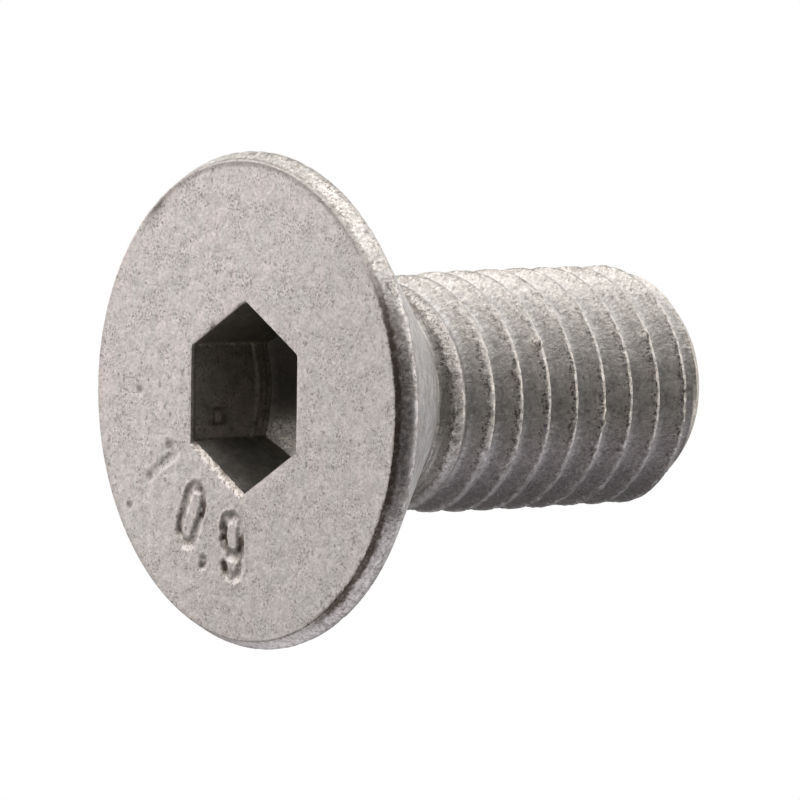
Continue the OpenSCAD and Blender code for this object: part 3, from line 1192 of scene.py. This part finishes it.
# Studio: a white backdrop behind the bolt, soft windows round it and a pale floor

AMBIENT = 0.03
# Direction of each window as the photograph sees it, how narrow it is and its strength
WINDOWS = (
    ((-0.3, 0.9, 0.3), 9, 2.6),
    ((-0.8, 0.3, -0.5), 9, 2.4),
    ((-0.65, 0.75, -0.1), 9, 1.0),
    ((0.6, 0.7, -0.4), 9, 1.4),
    ((0.95, 0.25, -0.2), 9, 1.4),
    ((0.45, 0.8, 0.4), 9, 1.0),
    ((0.8, -0.5, -0.35), 9, 0.8),
    ((0.0, -1.0, 0.25), 9, 1.4),
    ((-0.7, -0.65, -0.2), 9, 0.08),
    ((-0.25, -0.75, -0.62), 20, 1.5),
    ((-0.88, 0.42, 0.14), 60, 5.0),
)
# Cosines from the viewing direction between which the backdrop fades in
BACKDROP = (0.82, 0.95)
BACKDROP_FOOT = (-0.05, 0.25)
FLOOR_HALF = 0.4
FLOOR_Z = -0.03 * MM
FLOOR_PALE = (0.82, 0.82, 0.81, 1)
WHITE = (1, 1, 1, 1)


def make_world():
    """Soft windows light the bolt; the camera, and reflections that meet the backdrop, see white."""
    world = bpy.data.worlds.new("studio")
    world.use_nodes = True
    nodes = Nodes(world.node_tree)
    ray = nodes.add("TexCoord").outputs["Generated"]
    light = AMBIENT
    for direction, narrow, strength in WINDOWS:
        away = nodes.math("SUBTRACT", nodes.dot(ray, seen(*direction)), 1.0)
        glow = nodes.math("EXPONENT", nodes.math("MULTIPLY", away, narrow))
        light = nodes.math("ADD", nodes.math("MULTIPLY", glow, strength), light)
    path = nodes.add("LightPath").outputs
    reflected = nodes.math("MAXIMUM", path["Is Glossy Ray"], path["Is Transmission Ray"])
    behind = nodes.ramp(nodes.dot(ray, Vector(FORWARD)), *BACKDROP)
    above_foot = nodes.ramp(nodes.dot(ray, Vector(DOWN)), *BACKDROP_FOOT, 1.0, 0.0)
    behind = nodes.times(behind, above_foot)
    shown = nodes.math("MAXIMUM", path["Is Camera Ray"], nodes.math("MULTIPLY", reflected, behind))
    room = nodes.add("Background", {"Color": WHITE, "Strength": light})
    backdrop = nodes.add("Background", {"Color": WHITE, "Strength": 1.0})
    surface = nodes.add("MixShader", {0: shown, 1: room.outputs[0], 2: backdrop.outputs[0]})
    nodes.add("OutputWorld", {"Surface": surface.outputs[0]})
    bpy.context.scene.world = world


def make_floor():
    """Pale floor that shows from above only: the photograph looks at the face from below it."""
    mesh = bpy.data.meshes.new("floor")
    sides = ((-1, -1), (1, -1), (1, 1), (-1, 1))
    corners = [(FLOOR_HALF * x, FLOOR_HALF * y, FLOOR_Z) for x, y in sides]
    mesh.from_pydata(corners, [], [(0, 1, 2, 3)])
    floor = bpy.data.objects.new("floor", mesh)
    bpy.context.scene.collection.objects.link(floor)
    material = bpy.data.materials.new("floor")
    material.use_nodes = True
    nodes = Nodes(material.node_tree)
    paint = nodes.add("BsdfDiffuse", {"Color": FLOOR_PALE})
    clear = nodes.add("BsdfTransparent")
    below = nodes.add("NewGeometry").outputs["Backfacing"]
    surface = nodes.add("MixShader", {0: below, 1: paint.outputs[0], 2: clear.outputs[0]})
    nodes.add("OutputMaterial", {"Surface": surface.outputs[0]})
    mesh.materials.append(material)
    floor.visible_diffuse = False
    floor.visible_glossy = False
    floor.visible_transmission = False
    floor.visible_shadow = False


bpy.context.scene.view_settings.view_transform = "Standard"
bolt = make_bolt()
bolt.data.materials.append(coat_material())
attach(bolt, "root")
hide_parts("bolt")
make_camera()
make_world()
make_floor()
